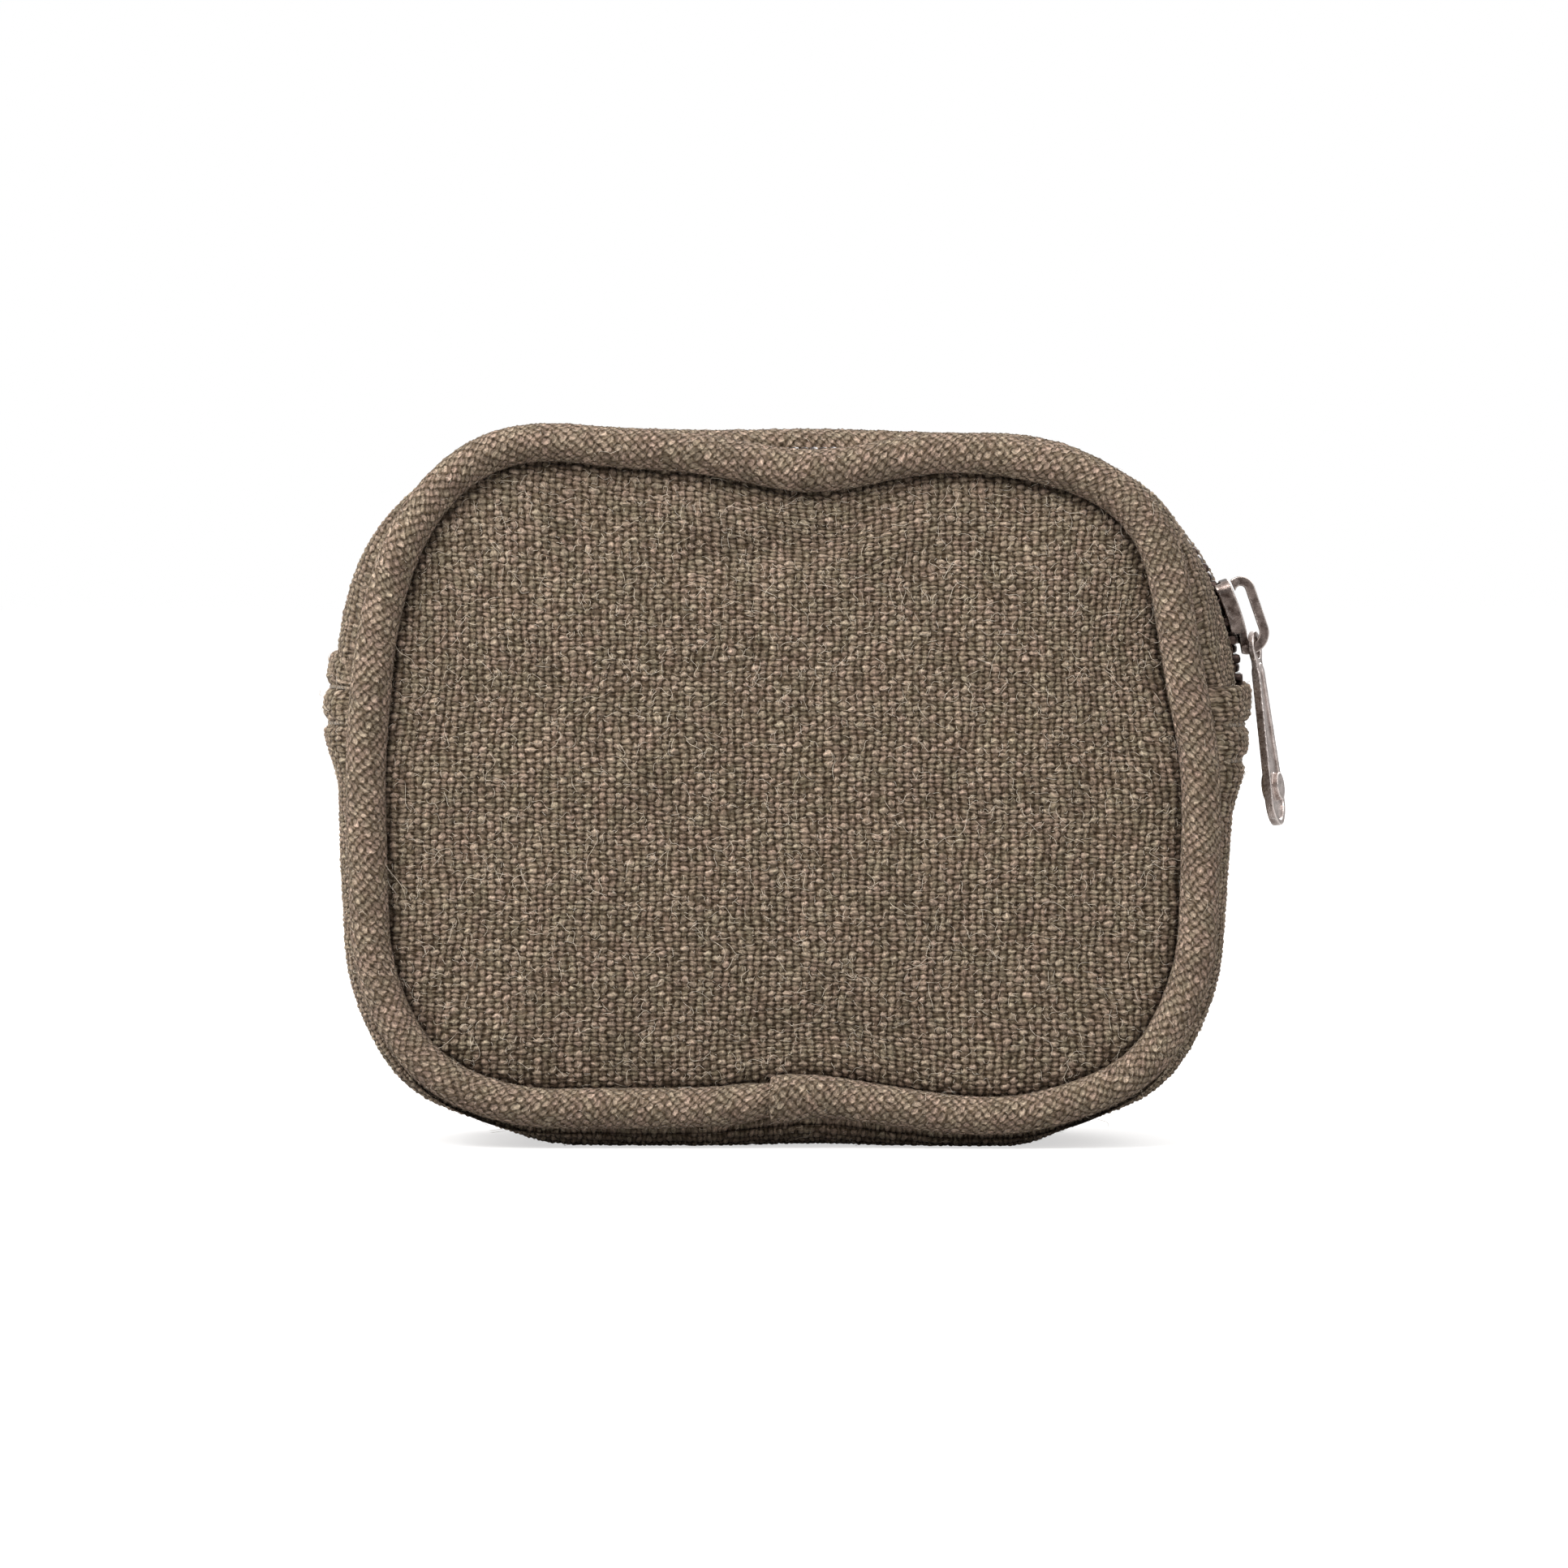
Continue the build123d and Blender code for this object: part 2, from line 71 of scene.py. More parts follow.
def smooth(x):
    """Ease from 0 to 1."""
    x = np.clip(x, 0.0, 1.0)
    return x * x * (3 - 2 * x)


def hump(distance):
    """A bell that is 1 at zero and fades within about two units."""
    return np.exp(-distance ** 2)


def quarter_round(x):
    """Rise from 0 to 1 as a quarter of a circle does."""
    return np.sqrt(np.clip(1 - (1 - np.clip(x, 0, 1)) ** 2, 0, 1))


def ripple(u, v, lengths, seed):
    """Soft irregular waves of about unit height, from sines of the given lengths."""
    draw = np.random.default_rng(seed)
    total = np.zeros(np.broadcast(u, v).shape)
    for length in lengths:
        way, phase = draw.uniform(0, tau, 2)
        total = total + np.sin((u * cos(way) + v * sin(way)) * tau / length + phase)
    return total / len(lengths)


def weave_height(u, v):
    """How far the weave stands above its middle at yarn coordinates u across the warp and v along it."""
    i, j = np.floor(u / WARP), np.floor(v / WEFT)
    across, along = u / WARP - i - 0.5, v / WEFT - j - 0.5
    over = np.where((i + j) % 2 == 0, 1.0, -1.0)
    scrambled = np.mod(np.sin(i * LUMP_TURNS[0] + j * LUMP_TURNS[1]) * LUMP_TURNS[2], 1.0)
    lump = LUMP_LEAST + LUMP_SPAN * scrambled
    warp = WARP_WAVE * lump * over * np.cos(pi * along) - WARP_ROUND * (2 * across) ** 2
    weft = -WEFT_WAVE * lump * over * np.cos(pi * across) - WEFT_ROUND * (2 * along) ** 2 - WEFT_LOW
    return np.maximum(warp, weft)


# ---- How the filled, handled cloth has settled away from the CAD's plain outline ----

# (place x, z), (shift x, z), reach: where the front or rear seam has been pushed or pulled.
FRONT_PULLS = [
    ((3.6, 89.0), (0.0, -3.0), 12.0),
    ((-38.0, 87.0), (-0.3, 1.9), 12.0),
    ((-53.0, 68.0), (2.0, 0.4), 13.0),
    ((54.0, 67.0), (-3.6, 0.0), 13.0),
    ((32.0, 88.0), (-0.2, -1.0), 9.0),
    ((44.5, 12.0), (0.9, -0.8), 9.0),
    ((3.6, 7.0), (0.0, 1.7), 9.0),
    ((26.0, 7.0), (0.0, -1.1), 9.0),
    ((-44.0, 11.0), (-1.0, -0.5), 10.0),
]
REAR_PULLS = [
    ((-10.0, 90.0), (0.0, -0.4), 14.0),
    ((24.0, 90.0), (0.0, -0.8), 15.0),
    ((-53.0, 60.0), (1.0, 0.0), 16.0),
    ((0.0, 6.0), (0.0, 1.1), 12.0),
]
# (place x, z), depth, (reach x, z), slant: soft hollows and swells of the panels.
FRONT_DENTS = [
    ((-3.0, 78.5), -1.5, (11.0, 3.2), 0.25),
    ((-14.0, 83.0), 0.8, (9.0, 3.0), -0.5),
    ((17.0, 81.0), 0.7, (9.0, 3.2), 0.45),
    ((4.0, 14.0), -0.9, (14.0, 3.5), 0.0),
    ((-43.0, 40.0), -0.6, (4.0, 18.0), 0.0),
    ((40.0, 44.0), -0.5, (4.5, 15.0), 0.1),
    ((-22.0, 25.0), 0.5, (13.0, 10.0), 0.6),
]
REAR_DENTS = [
    ((10.0, 76.0), -1.0, (14.0, 4.0), -0.2),
    ((-20.0, 30.0), 0.6, (12.0, 9.0), 0.3),
    ((26.0, 20.0), -0.7, (10.0, 5.0), 0.5),
]


def settle(points):
    """Move points by the pulls, fully at the pipings and not at all in the middle plane."""
    moved = points.copy()
    for pulls, side in ((FRONT_PULLS, -1), (REAR_PULLS, 1)):
        share = smooth((side * points[..., 1] - 5.0) / 11.0)
        for (x, z), (dx, dz), reach in pulls:
            near = share * hump(np.hypot(points[..., 0] - x, points[..., 2] - z) / reach)
            moved[..., 0] += dx * near
            moved[..., 2] += dz * near
    return moved


class Outline:
    """The hull of corner circles, measured along its edge from the bottom, anticlockwise from the front."""

    def __init__(self, circles, start_x=0.0):
        turns = np.linspace(-0.5 * pi, 1.5 * pi, 1442)[1:-1]
        self.away = np.stack([np.cos(turns), np.sin(turns)], axis=1)
        centres = np.array([centre for centre, radius in circles])
        radii = np.array([radius for centre, radius in circles])
        self.reach = (self.away @ centres.T + radii).max(axis=1)
        best = (self.away @ centres.T + radii).argmax(axis=1)
        edge = centres[best] + radii[best][:, None] * self.away
        start = np.array([[start_x, edge[0, 1]]])
        self.edge = np.concatenate([start, edge, start])
        self.turns = np.concatenate([[-0.5 * pi], turns, [1.5 * pi]])
        steps = np.hypot(*np.diff(self.edge, axis=0).T)
        self.along = np.concatenate([[0.0], np.cumsum(steps)])
        self.length = self.along[-1]

    def at(self, s):
        """x, z and the outward direction at distance s along the edge."""
        s = np.mod(s, self.length)
        turn = np.interp(s, self.along, self.turns)
        x = np.interp(s, self.along, self.edge[:, 0])
        z = np.interp(s, self.along, self.edge[:, 1])
        return x, z, np.cos(turn), np.sin(turn)

    def inside(self, x, z):
        """How far a point is inside the edge."""
        deepest = np.full(x.shape, 1e9)
        for (away_x, away_z), reach in zip(self.away[::12], self.reach[::12]):
            deepest = np.minimum(deepest, reach - away_x * x - away_z * z)
        return deepest

    def where(self, test):
        """The first distance along the edge where the test on x and z holds."""
        s = np.arange(0.0, self.length, 0.05)
        x, z = self.at(s)[:2]
        return s[np.argmax(test(x, z))]


seam = Outline(SEAM, JOINT_X)
gusset = Outline(GUSSET)
RIGHT_TAB_S = gusset.where(lambda x, z: (x > 0) & (z > RIGHT_TAB_TOP))
LEFT_TAB_S = gusset.where(lambda x, z: (x < 0) & (z < LEFT_TAB_TOP) & (z > 30))


# ---- Meshes ----

def collect(name, verts, faces, uvs=None):
    """A mesh object from points in millimetres, faces of four and yarn coordinates of the face corners."""
    mesh = bpy.data.meshes.new(name)
    mesh.vertices.add(len(verts))
    mesh.vertices.foreach_set("co", (np.asarray(verts) * MM).ravel())
    mesh.loops.add(faces.size)
    mesh.loops.foreach_set("vertex_index", faces.ravel())
    mesh.polygons.add(len(faces))
    mesh.polygons.foreach_set("loop_start", np.arange(len(faces)) * 4)
    mesh.polygons.foreach_set("loop_total", np.full(len(faces), 4))
    mesh.polygons.foreach_set("use_smooth", np.full(len(faces), True))
    if uvs is not None:
        layer = mesh.uv_layers.new(name="yarns")
        layer.data.foreach_set("uv", uvs.reshape(-1))
    mesh.update(calc_edges=True)
    mesh.validate()
    made = bpy.data.objects.new(name, mesh)
    bpy.context.scene.collection.objects.link(made)
    return made


def grid(name, points, u, v, wrap=False, flip=False, keep=None):
    """A mesh over a grid of points (rows, columns). With wrap, the last column is the first again."""
    rows, cols = points.shape[:2]
    used = cols - 1 if wrap else cols
    index = np.arange(rows * used).reshape(rows, used)
    if wrap:
        index = np.concatenate([index, index[:, :1]], axis=1)
    place = np.stack([u, v], axis=2)
    quads = np.stack([index[:-1, :-1], index[:-1, 1:], index[1:, 1:], index[1:, :-1]], axis=2)
    uvs = np.stack([place[:-1, :-1], place[:-1, 1:], place[1:, 1:], place[1:, :-1]], axis=2)
    if flip:
        quads, uvs = quads[:, :, ::-1], uvs[:, :, ::-1]
    if keep is not None:
        quads, uvs = quads[keep], uvs[keep]
    quads, uvs = quads.reshape(-1, 4), uvs.reshape(-1, 4, 2)
    verts = points[:, :used].reshape(-1, 3)
    kept, quads = np.unique(quads, return_inverse=True)
    return collect(name, verts[kept], quads.reshape(-1, 4), uvs)


def normals(points, wrap=False, flip=False):
    """The surface's direction at each point of a grid."""
    if wrap:
        ring = points[:, :-1]
        across = np.roll(ring, -1, axis=1) - np.roll(ring, 1, axis=1)
        across = np.concatenate([across, across[:, :1]], axis=1)
    else:
        across = np.gradient(points, axis=1)
    normal = np.cross(across, np.gradient(points, axis=0))
    normal /= np.linalg.norm(normal, axis=2, keepdims=True) + 1e-12
    return -normal if flip else normal


def canvas(name, points, u, v, wrap=False, flip=False, keep=None, seed=1, depth=1.0):
    """A piece of canvas over a smooth surface: the weave stands in its mesh, and yarns wander a little."""
    if not wrap:
        sway = 0.4 * ripple(u, v, (9, 14, 23, 41), seed)
        u = u + sway + 0.26 * ripple(u, v, (1.9, 2.7, 3.7, 5.9), seed + 3)
    sway = 0.3 * ripple(u, v, (8, 13, 29, 50), seed + 1)
    v = v + sway + 0.2 * ripple(u, v, (1.7, 2.9, 4.1, 6.3), seed + 4)
    lift = depth * weave_height(u, v) + 0.05 * ripple(u, v, (2.3, 3.1, 4.7), seed + 2)
    woven = points + lift[..., None] * normals(points, wrap, flip)
    return grid(name, woven, u, v, wrap, flip, keep)


def spread(low, high, step):
    """Evenly spaced numbers from low to high, about a step apart."""
    return np.linspace(low, high, max(2, int(round((high - low) / step)) + 1))


def strands(name, lines, ups, radius, sides=6):
    """Round threads along lines (threads, points, 3), thin at both ends."""
    count, points = lines.shape[:2]
    forward = np.gradient(lines, axis=1)
    forward /= np.linalg.norm(forward, axis=2, keepdims=True) + 1e-12
    side = np.cross(forward, ups[:, None, :])
    side /= np.linalg.norm(side, axis=2, keepdims=True) + 1e-12
    lift = np.cross(side, forward)
    thin = np.clip(np.sin(np.linspace(0, pi, points)) * 3, 0.12, 1.0) * radius
    turn = np.arange(sides) * tau / sides
    ring = (side[:, :, None] * np.cos(turn)[:, None] + lift[:, :, None] * np.sin(turn)[:, None])
    verts = lines[:, :, None] + ring * thin[:, None, None]
    index = np.arange(count * points * sides).reshape(count, points, sides)
    after = np.roll(index, -1, axis=2)
    quads = np.stack([index[:, :-1], after[:, :-1], after[:, 1:], index[:, 1:]], axis=3).reshape(-1, 4)
    length = np.broadcast_to(np.linspace(0, 2.4, points)[None, :, None], index.shape)
    around = np.broadcast_to(np.linspace(0, 1.5, sides)[None, None, :], index.shape)
    place = np.stack([around, length], axis=3).reshape(-1, 2)
    return collect(name, verts.reshape(-1, 3), quads, place[quads])


# ---- Materials ----

def linear(red, green, blue):
    """Blender's colour for an 8-bit screen colour."""
    values = [c / 255 for c in (red, green, blue)]
    return tuple(c / 12.92 if c <= 0.04045 else ((c + 0.055) / 1.055) ** 2.4 for c in values) + (1.0,)


class Nodes:
    """Short calls for the nodes of one material."""

    def __init__(self, name, **settings):
        self.material = bpy.data.materials.new(name)
        self.material.use_nodes = True
        self.tree = self.material.node_tree
        self.shader = self.tree.nodes["Principled BSDF"]
        for socket, value in settings.items():
            self.shader.inputs[socket.replace("_", " ")].default_value = value

    def add(self, kind, *inputs, **settings):
        node = self.tree.nodes.new(kind)
        for setting, value in settings.items():
            setattr(node, setting, value)
        for socket, value in zip(node.inputs, inputs):
            self.set(socket, value)
        return node

    def set(self, socket, value):
        if isinstance(value, bpy.types.NodeSocket):
            self.tree.links.new(value, socket)
        elif value is not None:
            socket.default_value = value

    def math(self, operation, *inputs):
        return self.add("ShaderNodeMath", *inputs, operation=operation).outputs[0]

    def mix(self, share, first, second):
        node = self.tree.nodes.new("ShaderNodeMix")
        node.data_type = "RGBA"
        self.set(node.inputs["Factor"], share)
        self.set(node.inputs["A"], first)
        self.set(node.inputs["B"], second)
        return node.outputs["Result"]

    def times(self, first, second):
        """Two colours multiplied together."""
        node = self.tree.nodes.new("ShaderNodeVectorMath")
        node.operation = "MULTIPLY"
        self.set(node.inputs[0], first)
        self.set(node.inputs[1], second)
        return node.outputs[0]

    def scale(self, colour, amount):
        """The colour made lighter or darker by an amount."""
        node = self.tree.nodes.new("ShaderNodeVectorMath")
        node.operation = "SCALE"
        self.set(node.inputs[0], colour)
        self.set(node.inputs["Scale"], amount)
        return node.outputs[0]

    def range(self, value, low, high, to_low, to_high):
        node = self.add("ShaderNodeMapRange", value, low, high, to_low, to_high)
        return node.outputs[0]

    def noise(self, place, size, detail=2.0):
        node = self.tree.nodes.new("ShaderNodeTexNoise")
        self.set(node.inputs["Vector"], place)
        node.inputs["Scale"].default_value = size
        node.inputs["Detail"].default_value = detail
        return node.outputs["Fac"]

    def vector(self, x, y, z=0.0):
        return self.add("ShaderNodeCombineXYZ", x, y, z).outputs[0]

    def yarn_places(self):
        uv = self.add("ShaderNodeUVMap", uv_map="yarns").outputs[0]
        parts = self.add("ShaderNodeSeparateXYZ", uv).outputs
        return parts[0], parts[1]

    def bump(self, height, distance, strength=1.0):
        node = self.tree.nodes.new("ShaderNodeBump")
        node.inputs["Strength"].default_value = strength
        node.inputs["Distance"].default_value = distance
        self.set(node.inputs["Height"], height)
        self.set(self.shader.inputs["Normal"], node.outputs[0])


CASTS = ((0.96, 1.01, 0.96, 1.0), (1.06, 1.0, 1.02, 1.0))  # patches lean olive or pinkish brown


def woven_material(name, warp_light, warp_dark, weft_light, weft_dark, painted_gap_shade, warp_step, weft_step):
    """Two families of yarns with their own colours, streaks along each yarn and fine fibres; painted shade
    in the hollows and painted highlights on the crests and bigger lumps.
    """
    m = Nodes(name, Roughness=0.95, Sheen_Weight=0.16, Sheen_Roughness=0.35, Specular_IOR_Level=0.08,
              Sheen_Tint=(1.0, 0.86, 0.78, 1.0))
    u, v = m.yarn_places()
    u = m.math("ADD", u, m.range(m.noise(m.vector(u, v), 1.9, 3.0), 0.2, 0.8, -0.2, 0.2))
    v = m.math("ADD", v, m.range(m.noise(m.vector(u, v, 17.0), 1.9, 3.0), 0.2, 0.8, -0.2, 0.2))
    column, row = m.math("DIVIDE", u, warp_step), m.math("DIVIDE", v, weft_step)
    i, j = m.math("FLOOR", column), m.math("FLOOR", row)
    across = m.math("SUBTRACT", m.math("SUBTRACT", column, i), 0.5)
    along = m.math("SUBTRACT", m.math("SUBTRACT", row, j), 0.5)
    odd = m.math("MODULO", m.math("ABSOLUTE", m.math("ADD", i, j)), 2.0)
    turned = m.math("ADD", m.math("MULTIPLY", i, LUMP_TURNS[0]), m.math("MULTIPLY", j, LUMP_TURNS[1]))
    lump = m.math("FLOORED_MODULO", m.math("MULTIPLY", m.math("SINE", turned), LUMP_TURNS[2]), 1.0)
    size = m.math("ADD", m.math("MULTIPLY", lump, LUMP_SPAN), LUMP_LEAST)
    over = m.math("MULTIPLY", m.math("SUBTRACT", 1.0, m.math("MULTIPLY", odd, 2.0)), size)

    def yarn(crest, wave, side, rounding):
        """Height of one yarn: a wave along it, round across it."""
        arch = m.math("MULTIPLY", m.math("COSINE", m.math("MULTIPLY", crest, pi)), wave)
        fall = m.math("MULTIPLY", m.math("POWER", m.math("MULTIPLY", side, 2.0), 2.0), rounding)
        return m.math("SUBTRACT", m.math("MULTIPLY", arch, over), fall)

    warp = yarn(along, WARP_WAVE, across, WARP_ROUND)
    weft = m.math("SUBTRACT", yarn(across, -WEFT_WAVE, along, WEFT_ROUND), WEFT_LOW)
    height = m.math("SMOOTH_MAX", warp, weft, 0.03)
    on_top = m.range(m.math("SUBTRACT", warp, weft), -0.03, 0.03, 0.0, 1.0)

    streak_warp = m.noise(m.vector(m.math("MULTIPLY", i, 7.31), m.math("MULTIPLY", v, 0.5)), 1.0, 3.0)
    streak_weft = m.noise(m.vector(m.math("MULTIPLY", u, 0.5), m.math("MULTIPLY", j, 5.17), 40.0), 1.0, 3.0)
    # Painted highlight: the bigger lumps, which also stand higher, are made lighter.
    lit = m.math("MULTIPLY", lump, 0.4)
    warp_tone = m.math("ADD", m.range(streak_warp, 0.3, 0.7, 0.0, 0.6), lit)
    weft_tone = m.math("ADD", m.range(streak_weft, 0.3, 0.7, 0.0, 0.6), lit)
    warp_colour = m.mix(warp_tone, warp_dark, warp_light)
    weft_colour = m.mix(weft_tone, weft_dark, weft_light)
    colour = m.mix(on_top, weft_colour, warp_colour)
    patch = m.noise(m.vector(u, v, 3.0), 0.45, 4.0)
    cast = m.mix(m.range(patch, 0.36, 0.64, 0.0, 1.0), CASTS[0], CASTS[1])
    colour = m.times(colour, cast)
    # Painted shade: the colour darkens in the hollows between the yarns.
    colour = m.mix(m.range(height, -0.13, 0.04, 1.0, 0.0), colour, painted_gap_shade)

    # Short fibres felted over the yarns, lying every way
    felt = m.noise(m.vector(u, v, 60.0), 3.4, 5.0)
    fibres_warp = m.noise(m.vector(m.math("MULTIPLY", u, 8.0), m.math("MULTIPLY", v, 2.4)), 1.0, 4.0)
    fibres_weft = m.noise(m.vector(m.math("MULTIPLY", u, 2.4), m.math("MULTIPLY", v, 8.0), 9.0), 1.0, 4.0)
    fibres = m.math("ADD", m.math("MULTIPLY", fibres_warp, 0.5), m.math("MULTIPLY", fibres_weft, 0.5))
    streak = m.noise(m.vector(m.math("MULTIPLY", i, 3.7), m.math("MULTIPLY", v, 0.12), 80.0), 1.0, 2.0)
    shade = m.range(streak, 0.35, 0.65, 0.84, 1.16)
    shade = m.math("MULTIPLY", shade, m.range(felt, 0.38, 0.62, 0.62, 1.38))
    shade = m.math("MULTIPLY", shade, m.range(fibres, 0.4, 0.6, 0.7, 1.3))
    # Painted highlight and shade: the colour is lighter on the yarns' crests and darker on their low parts.
    crest = m.range(height, 0.0, WARP_WAVE, 0.85, 1.1)
    m.set(m.shader.inputs["Base Color"], m.scale(colour, m.math("MULTIPLY", crest, shade)))
    relief = m.math("ADD", m.math("MULTIPLY", height, 0.7), m.math("MULTIPLY", fibres, 0.1))
    m.bump(relief, MM)
    return m.material


def metal_material(name, bright, worn, dark, rough, grime_size):
    """Aged plated metal: grime in patches, a cloudy roughness, faint scratches and a painted highlight on
    its sharp edges.
    """
    m = Nodes(name, Metallic=1.0)
    place = m.add("ShaderNodeTexCoord").outputs["Object"]
    clouds = m.noise(place, grime_size, 4.0)
    fine = m.noise(place, grime_size * 6, 3.0)
    edges = m.add("ShaderNodeNewGeometry").outputs["Pointiness"]
    body = m.mix(m.range(clouds, 0.35, 0.65, 0.0, 1.0), dark, worn)
    # Painted highlight: the sharp outer edges, found by their pointiness, are coloured brighter.
    colour = m.mix(m.range(edges, 0.5, 0.56, 0.0, 1.0), body, bright)
    m.set(m.shader.inputs["Base Color"], colour)
    m.set(m.shader.inputs["Roughness"], m.range(fine, 0.3, 0.7, rough - 0.08, rough + 0.12))
    m.bump(fine, 0.00004, 0.6)
    return m.material


def thread_material(name, light, dark):
    """Sewing thread with its plies twisted along it."""
    m = Nodes(name, Roughness=0.8, Sheen_Weight=0.2)
    u, v = m.yarn_places()
    twist = m.math("SINE", m.math("ADD", m.math("MULTIPLY", u, 4.2), m.math("MULTIPLY", v, 14.0)))
    m.set(m.shader.inputs["Base Color"], m.mix(m.range(twist, -1.0, 1.0, 0.0, 1.0), dark, light))
    m.bump(twist, 0.00005)
    return m.material


# The fifth colour given to each woven material is the painted shade of the hollows between its yarns.
CANVAS = woven_material(
    "canvas", linear(150, 134, 118), linear(106, 92, 77), linear(140, 124, 107), linear(100, 87, 71),
    linear(58, 46, 33), WARP, WEFT)
# Painted light: the pipings get a lighter, pinker copy of the canvas with paler hollows, standing in for
# the grazing light on their rounded sides.
PIPING_CANVAS = woven_material(
    "canvas_piping", linear(158, 140, 124), linear(114, 99, 85), linear(146, 129, 113), linear(108, 93, 78),
    linear(76, 63, 49), WARP, WEFT)
LINING = woven_material(
    "lining_cloth", linear(150, 136, 115), linear(135, 121, 101), linear(146, 132, 111),
    linear(131, 117, 98), linear(88, 77, 62), 0.5, 0.5)
TAPE = woven_material(
    "zip_tape", linear(112, 88, 72), linear(86, 66, 53), linear(100, 78, 64), linear(78, 60, 48),
    linear(40, 30, 24), 0.55, 0.45)
THREAD = thread_material("thread", linear(132, 117, 99), linear(84, 72, 57))
CORD = thread_material("filler_cord", linear(205, 196, 180), linear(160, 150, 134))
FUZZ = Nodes("loose_fibre", Roughness=0.9, Base_Color=linear(205, 190, 170), Sheen_Weight=0.5).material
# The first colour given to each metal is the painted highlight on its sharp edges.
SLIDER_METAL = metal_material(
    "slider_metal", linear(232, 220, 213), linear(138, 123, 116), linear(76, 63, 57), 0.28, 900)
PULLER_METAL = metal_material(
    "puller_metal", linear(248, 238, 233), linear(222, 208, 202), linear(160, 145, 138), 0.3, 700)
TEETH_METAL = metal_material(
    "teeth_metal", linear(138, 122, 114), linear(84, 70, 65), linear(48, 39, 36), 0.34, 900)


def finish_piece(piece, material, body=None, replaces=()):
    """Give a piece its material, hide the CAD parts it replaces and hang it on the body it rides on."""
    piece.data.materials.append(material)
    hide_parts(*replaces)
    if body:
        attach(piece, body)
    return piece


# ---- Front and rear panels ----

PANEL_OUT, PANEL_CROWN = 18.5, 2.3  # from the middle plane near the piping, and how much more in the middle
LINING_BEHIND = 1.6


def panel_depth(x, z, dents, seed):
    """How far a panel stands out from the middle plane: crowned, and drawn in at its seam."""
    inside = seam.inside(x, z) - PIPING_RADIUS
    deep = np.maximum(inside, 0.0)
    out = PANEL_OUT + PANEL_CROWN * (1 - np.exp(-deep / 11.0))
    out = out - 1.2 * np.exp(-deep / 0.8) + 0.6 * np.minimum(inside, 0.0)
    for (at_x, at_z), depth, (wide, tall), slant in dents:
        side = (x - at_x) * cos(slant) + (z - at_z) * sin(slant)
        rise = (z - at_z) * cos(slant) - (x - at_x) * sin(slant)
        out += depth * hump(np.hypot(side / wide, rise / tall)) * smooth(deep / 6.0)
    return out + 0.22 * ripple(x, z, (17, 26, 33, 47), seed) * smooth(deep / 5.0)


def panel_grid(side, dents, across, up, behind, margin):
    """x, z and points of a grid behind a panel's face, and which faces are a margin inside the seam."""
    x, z = np.meshgrid(spread(-56.0, 56.0, across) * -side, spread(3.0, 93.0, up))
    out = panel_depth(x, z, dents, 3 + side) - behind
    covered = seam.inside(x, z) > margin
    keep = covered[:-1, :-1] & covered[1:, :-1] & covered[:-1, 1:] & covered[1:, 1:]
    return x, z, settle(np.stack([x, side * out, z], axis=2)), keep


for name, side, dents in (("front", -1, FRONT_DENTS), ("rear", 1, REAR_DENTS)):
    x, z, surface, keep = panel_grid(side, dents, WARP / PER_YARN, WEFT / PER_YARN, 0.0, 1.0)
    panel = canvas(f"{name}_panel_cloth", surface, x * -side, z, keep=keep, seed=20 + side)
    finish_piece(panel, CANVAS, "pouch_body", [f"{name}_panel"])

    x, z, surface, keep = panel_grid(side, dents, 1.0, 1.0, LINING_BEHIND, 1.5)
    lining = grid(f"{name}_lining_cloth", surface, x, z, keep=keep)
    finish_piece(lining, LINING, "pouch_body", [f"{name}_lining"])

# ---- Pipings: a canvas cover round a filler cord, its ends lapped at the bottom ----

LAP = 2.6  # how far the left end runs on inside the right end
LAP_SWELL = 0.42  # how much fuller the outer end stands
SLIT_TURN = radians(225)  # the cover is open on its hidden side, where its edges go into the seam


def piping_line(s, side):
    """The middle line of a piping and the directions across it."""
    x, z, away_x, away_z = seam.at(s)
    middle = np.stack([x, np.full_like(x, side * PIPING_Y), z], axis=-1)
    away = np.stack([away_x, np.zeros_like(x), away_z], axis=-1)
    return middle, away


